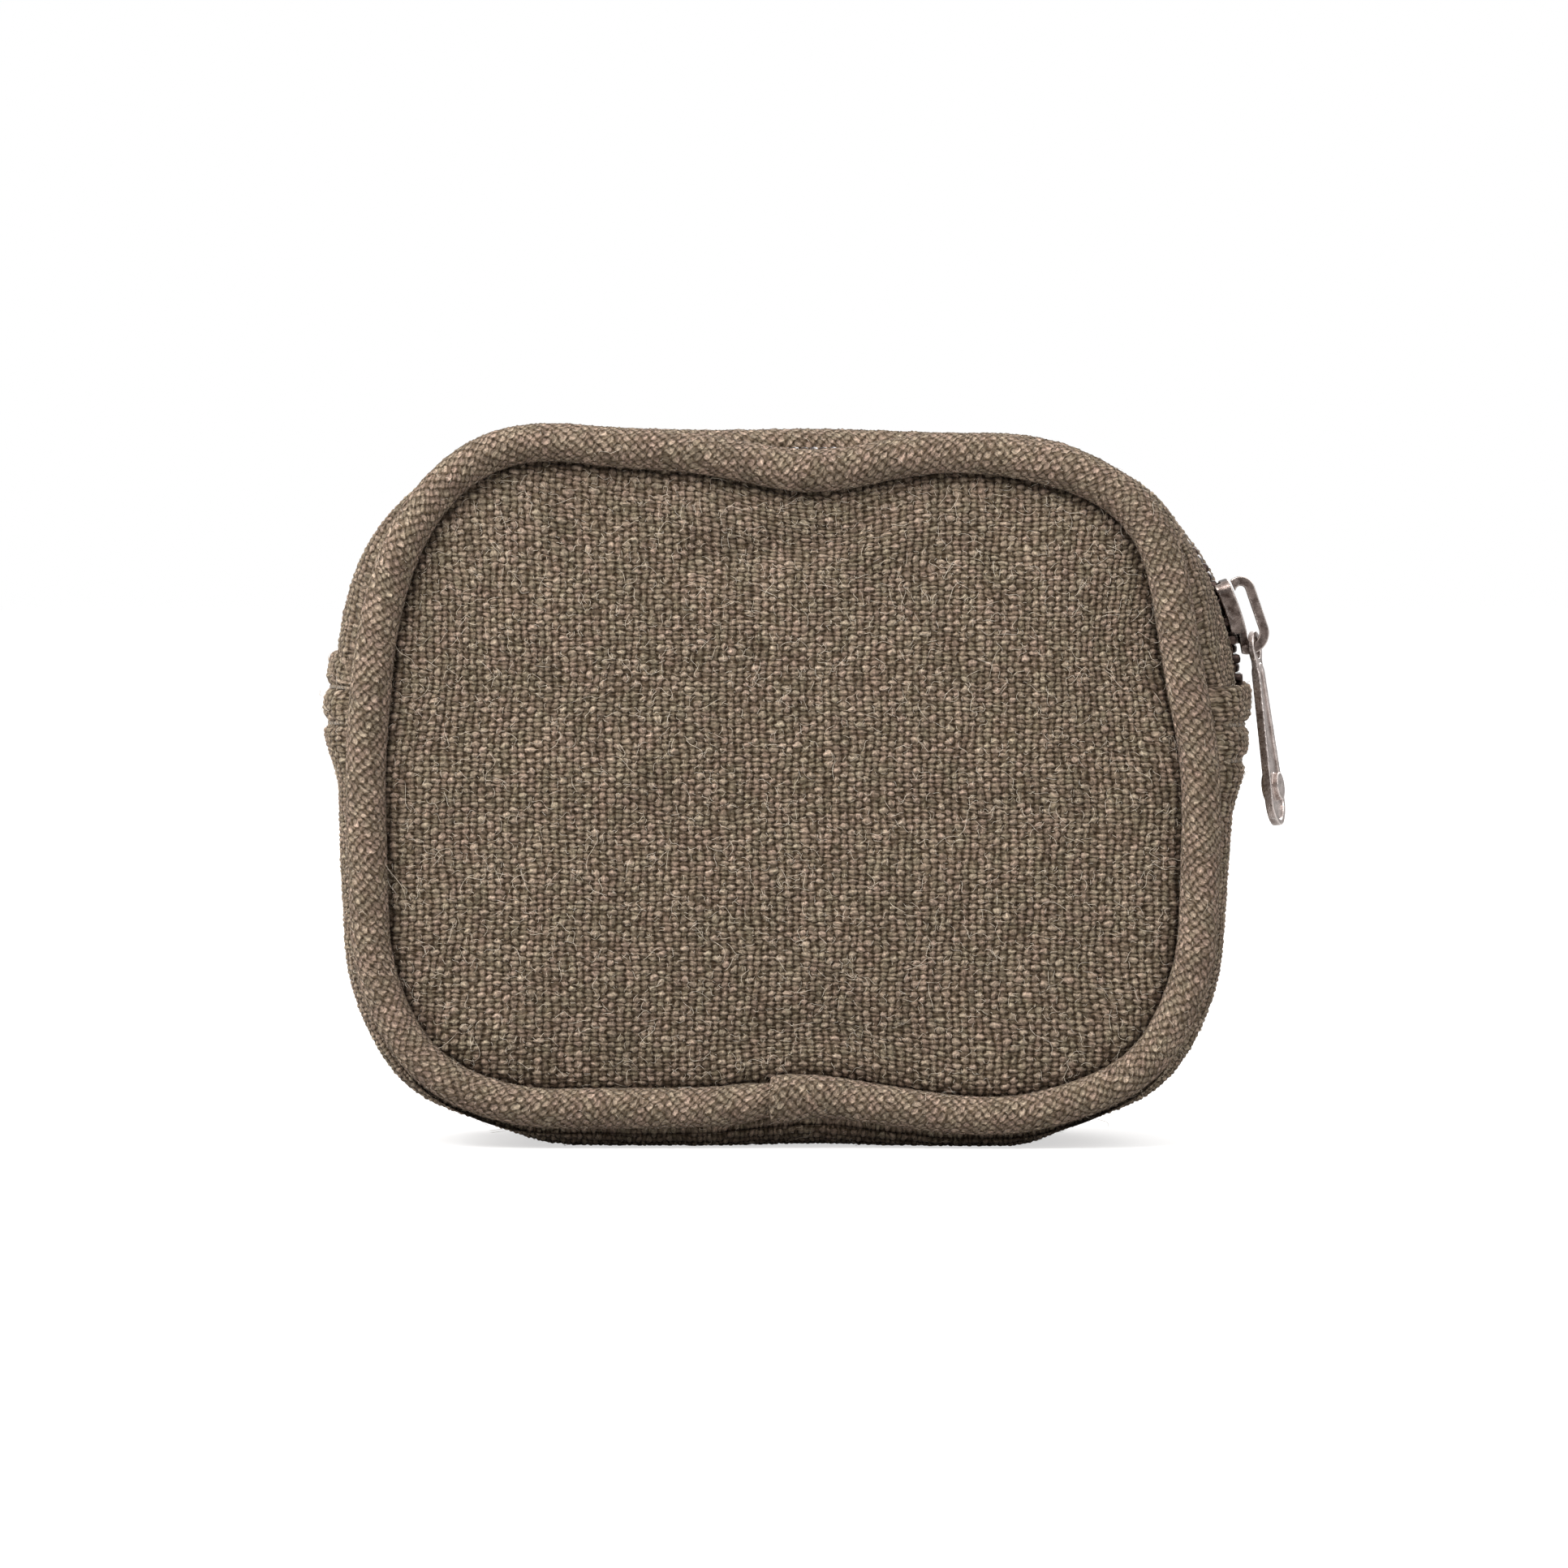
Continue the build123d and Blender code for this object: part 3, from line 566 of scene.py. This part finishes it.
for name, side in (("front", -1), ("rear", 1)):
    s = spread(0.0, seam.length + LAP, 0.25)
    turn = SLIT_TURN + np.linspace(0.07, tau - 0.07, 64)
    middle, away = piping_line(s, side)
    depth_way = np.array([0.0, side, 0.0])
    lapped = smooth((s - seam.length + 4.0) / 4.0)
    folded = quarter_round(s / 0.4)
    radius = PIPING_RADIUS + 0.07 * ripple(s, 0 * s, (13, 19, 31, 57), 5)
    radius = radius + LAP_SWELL * hump((s - 1.0) / 4.0)
    radius = (radius - LAP_SWELL * lapped) * (0.62 + 0.38 * folded)
    ring = away[:, None] * np.cos(turn)[:, None] + depth_way * np.sin(turn)[:, None]
    squash = 1.0 - 0.04 * np.cos(2 * turn)
    surface = settle(middle[:, None] + ring * radius[:, None, None] * squash[:, None])
    around = (turn - turn[0]) * PIPING_RADIUS
    u, v = (around + s[:, None]) / sqrt(2), (s[:, None] - around) / sqrt(2)  # the cover is cut on the bias
    piping = canvas(f"{name}_piping_cloth", surface, u, v, flip=side > 0, seed=40 + side, depth=0.7)
    finish_piece(piping, PIPING_CANVAS, "pouch_body", [f"{name}_piping_cover"])

    s = spread(0.3, seam.length - 0.5, 0.8)
    turn = np.linspace(0, tau, 19)
    middle, away = piping_line(s, side)
    ring = away[:, None] * np.cos(turn)[:, None] + depth_way * np.sin(turn)[:, None]
    plies = 1.45 + 0.12 * np.abs(np.sin(1.5 * turn + s[:, None] * 0.9))
    surface = settle(middle[:, None] + ring * plies[..., None])
    u = np.broadcast_to(turn, surface.shape[:2])
    v = np.broadcast_to(s[:, None], surface.shape[:2])
    cord = grid(f"{name}_piping_filler", surface, u, v, wrap=True, flip=side > 0)
    finish_piece(cord, CORD, "pouch_body", [f"{name}_piping_cord"])

# ---- The band: lower gusset with its folded ends, and its lining ----

EDGE_Y = 17.2  # where the gusset's edges are, inside the pipings
TAB_STITCH = {-1: (55.0, 59.5), 1: (50.2, 54.8)}
FOLD_RADIUS = 0.75


def side_distance(side, height):
    """Distance along the gusset where its left or right side is at a height."""
    if side > 0:
        return gusset.where(lambda x, z: (x > 0) & (z > height))
    return gusset.where(lambda x, z: (x < 0) & (z < height) & (z > 30)) - gusset.length


STITCH_ROWS = [side_distance(side, height) for side in (-1, 1) for height in TAB_STITCH[side]]
BAND_START, BAND_END = LEFT_TAB_S - gusset.length, RIGHT_TAB_S


def on_gusset(s, y, height):
    """Points at distance s along the gusset, y across it, and a height above it."""
    x, z, away_x, away_z = gusset.at(s)
    return np.stack([x + away_x * height, y + 0 * x, z + away_z * height], axis=-1)


def into_seam(s, y, height, start):
    """The height, turned down in a quarter round from |y| start so that the edge goes in by the piping."""
    x, z = gusset.at(s)[:2]
    sunk = seam.inside(x, z) - 0.9
    share = np.clip((np.abs(y) - start) / (EDGE_Y - start), 0.0, 1.0)
    return sunk + (height - sunk) * np.sqrt(1 - share ** 2)


def band_height(s, y):
    """How the lower gusset stands above the CAD outline: full over its ends, dimpled at the stitches."""
    to_end = np.minimum(s - BAND_START, BAND_END - s)
    bulk = 1.6 * smooth((17.0 - to_end) / 9.0)
    crown = 0.3 * (1 - (y / 17.0) ** 2)
    corners = -1.6 * (hump((s + 40.0) / 9.0) + hump((s - 40.0) / 9.0))
    rows = sum(hump((s - row) / 0.75) for row in STITCH_ROWS)
    low = bulk + crown + corners - 0.85 * rows * smooth((16.4 - np.abs(y)) / 1.0)
    return into_seam(s, y, low + 0.15 * ripple(s, y, (9, 14, 21, 37), 8), 12.0)


extra = pi * FOLD_RADIUS + 2.0
s = spread(BAND_START - extra, BAND_END + extra, WEFT / PER_YARN)
y = np.linspace(EDGE_Y, -EDGE_Y, 100)
flat_s, flat_y = np.meshgrid(s, y)
past = np.maximum(np.maximum(BAND_START - flat_s, flat_s - BAND_END), 0.0)
curl = np.minimum(past / FOLD_RADIUS, pi)
back = np.maximum(past - pi * FOLD_RADIUS, 0.0)
reach = FOLD_RADIUS * np.sin(curl) - back
outer = np.clip(flat_s, BAND_START, BAND_END)
placed = outer + np.where(flat_s > 0, reach, -reach)
height = band_height(outer, flat_y) - FOLD_RADIUS * (1 - np.cos(curl))
surface = settle(on_gusset(placed, flat_y, height))
surface[..., 2] = np.maximum(surface[..., 2], 0.02 * np.abs(np.sin(flat_s)) + 0.05)
band = canvas("lower_gusset_cloth", surface, flat_y, flat_s, seed=60, depth=0.85)
finish_piece(band, CANVAS, "pouch_body", ["lower_gusset"])

s = spread(BAND_START - 6, BAND_END + 6, 1.2)
flat_s, flat_y = np.meshgrid(s, np.linspace(16.2, -16.2, 30))
surface = settle(on_gusset(flat_s, flat_y, -1.7 + 0.1 * ripple(flat_s, flat_y, (9, 17, 23), 4)))
lining = grid("gusset_lining_cloth", surface, flat_y, flat_s)
finish_piece(lining, LINING, "pouch_body", ["gusset_lining"])

# ---- Top of the pouch: strips, tapes, teeth and stitches, in halves that meet at the middle ----

MIDDLE_S = gusset.where(lambda x, z: (x < MIDDLE_X) & (z > 60))
HALVES = {"right": (RIGHT_TAB_S - 3.0, MIDDLE_S, 1), "left": (MIDDLE_S, LEFT_TAB_S + 3.0, -1)}
SLIDER_TURN = 18.8  # degrees up the right corner
TOOTH_PITCH = 2.5
CHAIN_HEIGHT = -0.3
STRIP_STITCH_Y = 7.9
STITCH, THREAD_RADIUS = 2.5, 0.24


def bend_with_lip(piece):
    """Bake the piece's placement into its mesh."""
    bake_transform(piece)


def profile(distance, line):
    """Heights along a bent line of (distance, height) pairs."""
    return np.interp(distance, [d for d, h in line], [h for d, h in line])


def tooth_mesh(name, places, side):
    """Zip teeth at (s, reach past the middle), clamped on the tape at one end and round at the other."""
    sections = [  # y, half length along the zip, half thickness
        (3.45, 0.05, 0.1), (3.4, 0.5, 0.9), (3.2, 0.64, 1.1), (2.3, 0.64, 1.15), (1.7, 0.5, 1.05),
        (1.1, 0.46, 1.0), (0.6, 0.68, 1.05), (0.0, 0.66, 0.95), (-0.5, 0.45, 0.7), (-0.62, 0.05, 0.1),
    ]
    corner = np.arange(12) * tau / 12
    wide = np.sign(np.cos(corner)) * np.abs(np.cos(corner)) ** 0.55
    tall = np.sign(np.sin(corner)) * np.abs(np.sin(corner)) ** 0.55
    s = places[:, 0][:, None, None]
    y = np.array([section[0] for section in sections])[None, :, None] - places[:, 1][:, None, None]
    half = np.array([section[1] for section in sections])[None, :, None]
    thick = np.array([section[2] for section in sections])[None, :, None]
    along = s + wide * half
    across = side * (y + 0 * along)
    verts = on_gusset(along, across, CHAIN_HEIGHT + tall * thick + 0 * along)
    index = np.arange(verts[..., 0].size).reshape(verts.shape[:3])
    after = np.roll(index, -1, axis=2)
    quads = np.stack([index[:, :-1], after[:, :-1], after[:, 1:], index[:, 1:]], axis=3).reshape(-1, 4)
    if side < 0:
        quads = quads[:, ::-1]
    return collect(name, verts.reshape(-1, 3), quads)


def stitch_row(name, s_values, y, height_at, along_s=True):
    """Stitches at distances along the gusset, lying along it or across it."""
    bend = np.linspace(-0.5, 0.5, 7)
    s_values, y = np.broadcast_arrays(np.asarray(s_values, float), np.asarray(y, float))
    s = s_values[:, None] + (bend * STITCH if along_s else 0 * bend)
    across = y[:, None] + (0 * bend if along_s else bend * STITCH)
    lift = height_at(s, across) + 0.1 - 0.5 * (2 * bend) ** 4
    lines = settle(on_gusset(s, across, lift))
    away_x, away_z = gusset.at(s_values)[2:]
    ups = np.stack([away_x, 0 * away_x, away_z], axis=1)
    return strands(name, lines, ups, THREAD_RADIUS, 8)


SLIDER_S = side_distance(1, RIGHT_ARC[0][1] + RIGHT_ARC[1] * sin(radians(SLIDER_TURN)))
STRIP_LINE = [(6.2, -0.95), (6.4, -0.5), (6.75, -0.05), (7.6, 0.0), (14.0, 0.25)]
# Where the strips stand proud at the corners, as (distance along the gusset, height, spread)
STRIP_SWELLS = [
    (side_distance(-1, 78.0) + gusset.length, 3.6, 17.0),
    (side_distance(1, 84.5), 1.7, 9.0),
    (side_distance(1, 73.0), 0.8, 6.0),
]
TAPE_LINE = [(2.1, CHAIN_HEIGHT), (4.9, CHAIN_HEIGHT), (6.3, -1.5), (13.4, -1.6)]


def strip_height(s, y):
    """The zip strip's surface: a soft fold at the zip, a dimple at its stitching."""
    distance = np.abs(y)
    height = profile(distance, STRIP_LINE) - 0.28 * hump((distance - STRIP_STITCH_Y) / 0.5)
    loose = smooth((distance - 6.5) / 3.5)
    swell = sum(tall * hump((s - place) / wide) for place, tall, wide in STRIP_SWELLS)
    return into_seam(s, y, height + loose * (swell + 0.2 * ripple(s, y, (12, 19, 33), 12)), 12.5)


for name, side in (("front", -1), ("rear", 1)):
    for half, (first, last, half_side) in HALVES.items():
        s = spread(first, last, WEFT / PER_YARN)
        fold = np.linspace(0, pi, 10)
        y_top = spread(STRIP_EDGE + 0.6, EDGE_Y, WARP / PER_YARN)[1:]
        distance = np.concatenate([[9.5, 8.2, 7.2], STRIP_EDGE + 0.6 - 0.6 * np.sin(fold), y_top])
        under = np.concatenate([[-1.15, -1.15, -1.15], -0.6 - 0.55 * np.cos(fold), 0 * y_top])
        cloth_u = np.concatenate([[0.0], np.cumsum(np.hypot(np.diff(distance), np.diff(under)))])
        flat_d, flat_s = np.meshgrid(distance, s, indexing="ij")
        on_top = (np.arange(len(distance)) >= len(distance) - len(y_top))[:, None]
        lift = np.where(on_top, strip_height(flat_s, flat_d), under[:, None] + 0 * flat_s)
        surface = settle(on_gusset(flat_s, side * flat_d, lift))
        u = np.broadcast_to(cloth_u[:, None], flat_s.shape)
        strip = canvas(f"{name}_strip_cloth_{half}", surface, u, flat_s, flip=side > 0, seed=80, depth=0.8)
        finish_piece(strip, CANVAS, None, [f"{name}_strip_lip", f"{name}_strip_ends"])
        bend_with_lip(strip)

        distance = np.concatenate([np.linspace(2.1, 6.5, 18), np.linspace(6.9, 13.4, 8)])
        s = spread(first, last, 0.4)
        flat_d, flat_s = np.meshgrid(distance, s, indexing="ij")
        bead = 0.35 * hump((flat_d - 2.4) / 0.35)
        ribs = 0.05 * np.sin(flat_s * tau / 1.2) * np.sin(flat_d * tau / 1.0)
        surface = settle(on_gusset(flat_s, side * flat_d, profile(flat_d, TAPE_LINE) + bead + ribs))
        tape = grid(f"{name}_tape_cloth_{half}", surface, flat_d, flat_s, flip=side > 0)
        finish_piece(tape, TAPE, None, [f"{name}_tape_lip", f"{name}_tape_ends"])
        bend_with_lip(tape)

        shift = 0.0 if side < 0 else 0.5
        teeth_s = np.arange(RIGHT_TAB_S + 1.6, LEFT_TAB_S - 5.5, TOOTH_PITCH) + TOOTH_PITCH * shift
        teeth_s = teeth_s[(teeth_s > first) & (teeth_s <= last)]
        parted = 1.1 * smooth((SLIDER_S + 1.0 - teeth_s) / 3.0)
        teeth = tooth_mesh(f"{name}_teeth_{half}", np.stack([teeth_s, 0.05 - parted], axis=1), side)
        finish_piece(teeth, TEETH_METAL, None, [f"{name}_teeth_lip", f"{name}_teeth_ends"])
        bend_with_lip(teeth)

        stitch_s = np.arange(first + 4.5, last - 4.0, 3.2)
        stitches = stitch_row(f"{name}_zip_stitches_{half}", stitch_s, side * STRIP_STITCH_Y, strip_height)
        finish_piece(stitches, THREAD, None, [f"{name}_lip_stitching", "end_stitching"])
        bend_with_lip(stitches)

# Topstitching across both tabs

across = np.arange(-14.2, 14.3, 2.85)
rows, places = np.repeat(STITCH_ROWS, len(across)), np.tile(across, len(STITCH_ROWS))
tab_stitches = stitch_row("tab_stitches", rows, places, band_height, along_s=False)
finish_piece(tab_stitches, THREAD, "pouch_body", ["tab_stitching"])

# ---- Belt loop on the rear ----

LOOP_HALF, LOOP_LOW, LOOP_HIGH = 19.0, 12.0, 82.0
LOOP_SEWN, LOOP_RISE = 8.0, 7.0  # lengths sewn flat and rising from there
LOOP_OUT = 6.6
LOOP_BASE = 19.4  # where the loop's free part stands off from


def loop_points(z, x, lift):
    """Points of the strap at a height z and across x, lifted off its middle by a small amount."""
    base = panel_depth(x, z, REAR_DENTS, 4)
    near_end = np.minimum(z - LOOP_LOW, LOOP_HIGH - z)
    free = smooth((near_end - LOOP_SEWN) / LOOP_RISE)
    depth = base * (1 - free) + LOOP_BASE * free + (0.9 + LOOP_OUT * free) + lift
    return np.stack([x, depth, z], axis=-1)


edge_turn = np.linspace(-0.5 * pi, 0.5 * pi, 9)[1:-1]
half_thick = 0.8
x_top = np.linspace(LOOP_HALF - half_thick, -LOOP_HALF + half_thick, 106)
left_round = -LOOP_HALF + half_thick - half_thick * np.cos(edge_turn)
right_round = LOOP_HALF - half_thick + half_thick * np.cos(edge_turn)
loop_x = np.concatenate([x_top, left_round, x_top[::-3], right_round, x_top[:1]])
loop_lift = np.concatenate([
    np.full(len(x_top), half_thick), half_thick * np.sin(-edge_turn),
    np.full(len(x_top[::-3]), -half_thick), half_thick * np.sin(edge_turn), [half_thick]])
z = spread(LOOP_LOW, LOOP_HIGH, WEFT / PER_YARN)
flat_z, flat_x = np.meshgrid(z, loop_x, indexing="ij")
closing = quarter_round(np.minimum(flat_z - LOOP_LOW, LOOP_HIGH - flat_z) / half_thick)
surface = settle(loop_points(flat_z, flat_x, loop_lift * np.maximum(closing, 0.02)))
loop_u = np.concatenate([[0], np.cumsum(np.hypot(np.diff(loop_x), np.diff(loop_lift)))])
loop_u = np.broadcast_to(loop_u, flat_z.shape)
loop = canvas("belt_loop_cloth", surface, loop_u, flat_z, wrap=True, seed=90, depth=0.8)
finish_piece(loop, CANVAS, "pouch_body", ["belt_loop"])

lines, ups = [], []
bend = np.linspace(-0.5, 0.5, 7)
arch = half_thick + 0.12 - 0.5 * (2 * bend) ** 4
for edge in (LOOP_LOW, LOOP_HIGH - LOOP_SEWN):
    for row in (edge + 1.6, edge + LOOP_SEWN - 1.6):
        for x in np.arange(-16.0, 16.1, 3.2):
            lines.append(settle(loop_points(np.full(7, row), x + bend * STITCH, arch)))
            ups.append((0.0, 1.0, 0.0))
loop_stitches = strands("loop_stitches", np.array(lines), np.array(ups), THREAD_RADIUS, 8)
finish_piece(loop_stitches, THREAD, "pouch_body", ["loop_stitching"])

# ---- Loose fibres that have worked out of the yarns ----


def loose_fibres(name, cloth, count, seed):
    """Fine curled hairs lying on a piece of cloth, rooted at random corners of its mesh."""
    draw = np.random.default_rng(seed)
    mesh = cloth.data
    co, away = np.zeros(len(mesh.vertices) * 3, np.float32), np.zeros(len(mesh.vertices) * 3, np.float32)
    mesh.vertices.foreach_get("co", co)
    mesh.vertex_normals.foreach_get("vector", away)
    roots = draw.integers(0, len(mesh.vertices), count)
    co, away = co.reshape(-1, 3)[roots] / MM, away.reshape(-1, 3)[roots]
    lying = np.cross(away, draw.normal(size=(count, 3)))
    lying /= np.linalg.norm(lying, axis=1, keepdims=True)
    beside = np.cross(away, lying)
    along = np.linspace(-0.5, 0.5, 7)[None, :, None]
    length = draw.gamma(1.3, 0.6, count)[:, None, None] + 0.3
    standing = draw.uniform(0.0, 0.9, count)[:, None, None] ** 3
    curl = draw.normal(0, 0.8, count)[:, None, None]
    wave = draw.normal(0, 0.12, count)[:, None, None]
    height = draw.uniform(0.02, 0.16, count)[:, None, None]
    side = (curl * (along ** 2 - 0.08) + wave * np.sin(along * 6.0)) * length
    rise = height * (1 - (2 * along) ** 2) - 0.03 + standing * length * (along + 0.5)
    lines = co[:, None] + lying[:, None] * along * length + beside[:, None] * side + away[:, None] * rise
    lines[..., 2] = np.maximum(lines[..., 2], 0.03)  # those under the base lie on the floor
    hairs = strands(name, lines, away, 0.024, 3)
    finish_piece(hairs, FUZZ, "pouch_body")


for cloth, count in (("front_panel_cloth", 5200), ("rear_panel_cloth", 4000), ("front_piping_cloth", 1400),
                     ("rear_piping_cloth", 1100), ("lower_gusset_cloth", 1600), ("belt_loop_cloth", 900)):
    loose_fibres(cloth.replace("_cloth", "_hairs"), bpy.data.objects[cloth], count, len(cloth) + count)

# ---- Metal parts keep their CAD shapes ----

for node, material in (("slider_body", SLIDER_METAL), ("puller", PULLER_METAL),
                       ("bottom_stop", TEETH_METAL), ("top_stops", TEETH_METAL)):
    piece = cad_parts[node]
    piece.data.materials.clear()
    piece.data.materials.append(material)
    cast = piece.modifiers.new("even_mesh", "REMESH")
    cast.mode = "VOXEL"
    cast.voxel_size = 0.09 * MM
    cast.use_smooth_shade = True
    rounding = piece.modifiers.new("rounded_edges", "SMOOTH")
    rounding.factor = 0.5
    rounding.iterations = 5

# ---- Stage, light and camera ----

bpy.ops.mesh.primitive_plane_add(size=6.0)
floor = bpy.context.object
floor.name = "floor"
pale = Nodes("pale_floor", Roughness=0.6, Base_Color=(0.44, 0.437, 0.434, 1.0), Specular_IOR_Level=0.1,
             Emission_Color=(1.0, 0.99, 0.985, 1.0))
glow = pale.math("MULTIPLY", pale.add("ShaderNodeLightPath").outputs["Is Camera Ray"], 0.62)
pale.set(pale.shader.inputs["Emission Strength"], glow)
floor.data.materials.append(pale.material)

world = bpy.data.worlds.new("studio")
world.use_nodes = True
links, add = world.node_tree.links.new, world.node_tree.nodes.new
background = world.node_tree.nodes["Background"]
background.inputs["Color"].default_value = (1.0, 1.0, 1.0, 1.0)
sky_way = add("ShaderNodeTexCoord")
parts = add("ShaderNodeSeparateXYZ")
links(sky_way.outputs["Generated"], parts.inputs[0])
ramp = add("ShaderNodeValToRGB")  # how bright the studio is from below, over its dark sides, to overhead
for place, level in ((0.5, 0.6), (0.56, 0.3), (0.7, 0.35), (0.8, 0.8)):
    stop = ramp.color_ramp.elements.new(place)
    stop.color = (level, level, level, 1.0)
ramp.color_ramp.elements[0].color = (0.6, 0.6, 0.6, 1.0)
upward = add("ShaderNodeMapRange")
upward.inputs["From Min"].default_value = -1.0
links(parts.outputs["Z"], upward.inputs["Value"])
links(upward.outputs[0], ramp.inputs["Fac"])
seen = add("ShaderNodeLightPath")
strength = add("ShaderNodeMix")
links(seen.outputs["Is Camera Ray"], strength.inputs["Factor"])
links(ramp.outputs["Color"], strength.inputs["A"])
strength.inputs["B"].default_value = 1.0
links(strength.outputs["Result"], background.inputs["Strength"])
bpy.context.scene.world = world


def softbox(name, place, size, power):
    """A square lamp facing the pouch."""
    data = bpy.data.lights.new(name, "AREA")
    data.size = size
    data.energy = power
    lamp = bpy.data.objects.new(name, data)
    lamp.location = place
    lamp.rotation_euler = (Vector((0, 0, 0.045)) - Vector(place)).to_track_quat("-Z", "Y").to_euler()
    bpy.context.scene.collection.objects.link(lamp)


softbox("key", (-0.8, -0.95, 1.3), 0.8, 24.5)
softbox("side", (-1.2, -0.3, 0.9), 0.7, 19.0)
softbox("fill", (0.9, -0.9, 0.9), 0.9, 9.0)
softbox("back", (0.5, 1.3, 0.8), 0.9, 11.0)
sun_data = bpy.data.lights.new("overhead", "SUN")
sun_data.energy = 0.25
sun_data.angle = radians(60)
sun = bpy.data.objects.new("overhead", sun_data)
sun.rotation_euler = (radians(20), radians(-10), 0)
bpy.context.scene.collection.objects.link(sun)

FRAME_WIDTH = 0.2041  # what the picture spans at the front of the pouch
DISTANCE = 1.5
camera_data = bpy.data.cameras.new("camera")
camera = bpy.data.objects.new("camera", camera_data)
bpy.context.scene.collection.objects.link(camera)
tilt = radians(2.2)
target = Vector((0.0, -0.012, 0.0471))
camera.location = target + Vector((0, -cos(tilt), sin(tilt))) * DISTANCE
camera.rotation_euler = (target - camera.location).to_track_quat("-Z", "Y").to_euler()
camera_data.sensor_width = 36.0
camera_data.lens = 36.0 * DISTANCE / FRAME_WIDTH
bpy.context.scene.camera = camera
bpy.context.scene.view_settings.view_transform = "Standard"
